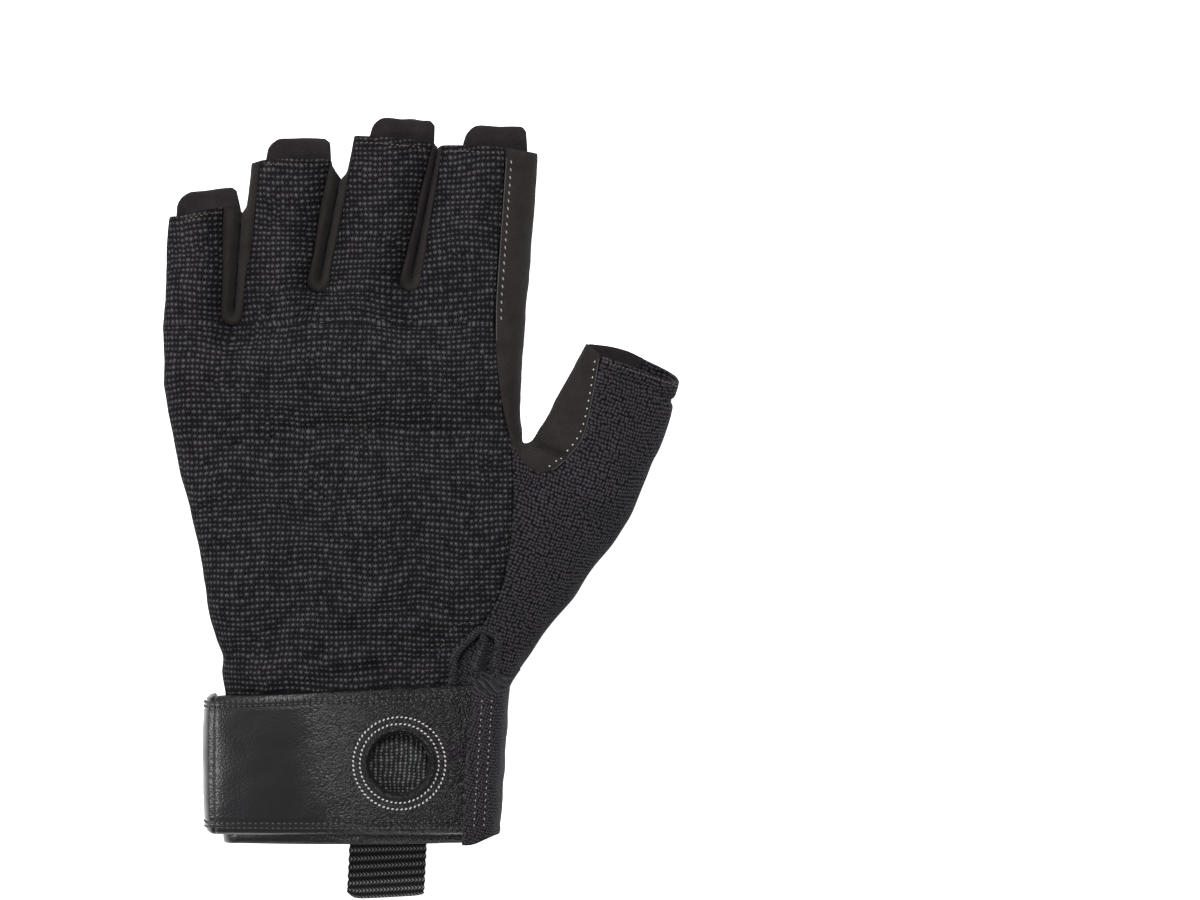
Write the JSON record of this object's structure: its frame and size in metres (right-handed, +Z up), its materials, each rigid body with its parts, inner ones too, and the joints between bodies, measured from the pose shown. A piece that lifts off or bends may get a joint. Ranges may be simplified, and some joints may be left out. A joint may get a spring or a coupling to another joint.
{
  "type": "climbing glove",
  "caption": "Half-finger climbing glove for the left hand, palm down: quilted back, suede palm, looped-knit thumb, leather wrist strap with a round hole and a webbing pull loop.",
  "frame": {"origin": "centre of the glove's outline, on the surface it lies on", "axes": "+Z up out of the back of the hand, +Y towards the fingertips, +X towards the thumb"},
  "size_m": [0.1322, 0.2, 0.0237],
  "materials": {
    "back_knit": "matt quilted knit, nearly black",
    "suede": "napped microsuede, nearly black",
    "terry": "matt looped knit, nearly black",
    "elastic": "ribbed elastic band, nearly black",
    "webbing": "matt woven tape, nearly black",
    "leather": "smooth leather with a soft sheen, nearly black",
    "piping": "matt knit binding, nearly black"
  },
  "bodies": {
    "root": {"back_panel": "back_knit", "palm_panel": "suede", "fourchette_pinky_ring": "suede", "fourchette_ring_middle": "suede", "fourchette_middle_index": "suede", "side_strip_index_thumb": "suede", "thumb_terry": "terry", "thumb_palm": "suede", "cuff_back": "back_knit", "cuff_elastic": "elastic", "cuff_side_flap": "elastic", "slit_gusset": "back_knit", "pull_webbing": "webbing", "tape_loop_little_side": "webbing", "tape_loop_thumb_side": "webbing", "tab_pinky": "suede", "tab_ring": "suede", "tab_middle": "suede", "tab_index": "suede", "wrist_strap": "leather", "index_patch": "suede", "slit_piping": "piping"}
  },
  "joints": []
}
